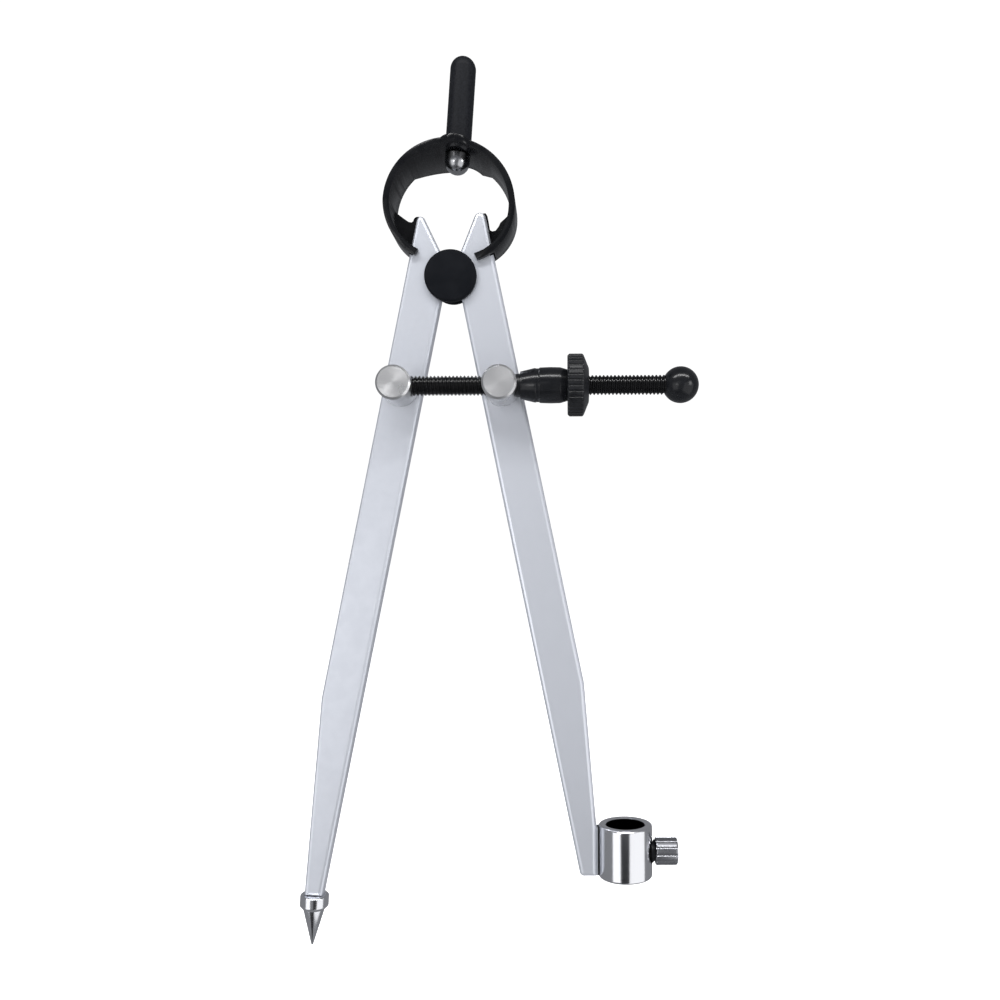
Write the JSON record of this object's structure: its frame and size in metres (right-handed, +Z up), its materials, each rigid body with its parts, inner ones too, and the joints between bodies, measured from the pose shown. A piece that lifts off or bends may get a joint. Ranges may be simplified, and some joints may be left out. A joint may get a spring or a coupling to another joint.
{
  "type": "spring divider",
  "caption": "Spring divider with two steel legs on a roller pivot under a round bow spring, a quick nut on an adjusting screw, a fixed scribing point and a clamp tube for a pencil.",
  "frame": {"origin": "The tip of the scribing point, in the middle plane of the two legs.", "axes": "+Z points up, from the tip to the handle, along the line midway between the two legs. +X points to the viewer's right, along the adjusting screw from the left post to the ball. +Y points away from the viewer, along the pivot."},
  "size_m": [0.0874, 0.0237, 0.1956],
  "materials": {
    "satin_nickel": "satin nickel plate",
    "satin_black": "satin black",
    "black_oxide": "black oxide",
    "gloss_black": "gloss black",
    "black_steel": "semi-gloss black",
    "turned_steel": "turned, bright",
    "chrome": "polished"
  },
  "bodies": {
    "frame": {"fulcrum_cap": "satin_black", "fulcrum_roller": "satin_black", "bow_spring": "black_oxide", "handle_stem": "black_oxide", "stem_nut": "gloss_black"},
    "left_arm": {"left_leg": "satin_nickel", "scribing_point": "chrome", "point_collar": "chrome"},
    "right_arm": {"right_leg": "satin_nickel", "pencil_tube": "chrome"},
    "left_swivel": {"left_post": "turned_steel", "left_post_washer": "turned_steel", "adjusting_screw": "black_oxide", "ball_knob": "gloss_black"},
    "right_swivel": {"right_post": "turned_steel", "right_post_washer": "turned_steel"},
    "quick_nut": {"nut_wheel": "black_steel", "nut_sleeve": "gloss_black", "front_half_nut": "black_steel", "rear_half_nut": "black_steel", "jaw_ring": "turned_steel"},
    "clamp": {"clamp_screw": "chrome"}
  },
  "joints": [
    {"name": "left_leg_pivot", "type": "hinge", "parent": "frame", "child": "left_arm", "pos_m": [0.03148, 0, 0.14655], "axis": [0, 1, 0], "range_deg": [-11, 19], "deforming": ["bow_spring"]},
    {"name": "right_leg_pivot", "type": "hinge", "parent": "frame", "child": "right_arm", "pos_m": [0.03148, 0, 0.14655], "axis": [0, -1, 0], "range_deg": [-11, 19]},
    {"name": "left_post_swivel", "type": "hinge", "parent": "left_arm", "child": "left_swivel", "pos_m": [0.02044, 0, 0.12185], "axis": [0, 1, 0], "range_deg": [-19, 11]},
    {"name": "right_post_swivel", "type": "hinge", "parent": "right_arm", "child": "right_swivel", "pos_m": [0.04253, 0, 0.12185], "axis": [0, -1, 0], "range_deg": [-19, 11]},
    {"name": "nut_spin", "type": "hinge", "parent": "right_swivel", "child": "quick_nut", "pos_m": [0.05653, -0.0069, 0.12185], "axis": [1, 0, 0], "continuous": true},
    {"name": "clamp_slide", "type": "slide", "parent": "right_arm", "child": "clamp", "axis": [1, 0, 0], "range_m": [-0.00045, 0.0011]}
  ],
  "couplings": [
    {"joint": "right_leg_pivot", "follows": "left_leg_pivot", "ratio": 1},
    {"joint": "left_post_swivel", "follows": "left_leg_pivot", "ratio": -1},
    {"joint": "right_post_swivel", "follows": "left_leg_pivot", "ratio": -1}
  ]
}
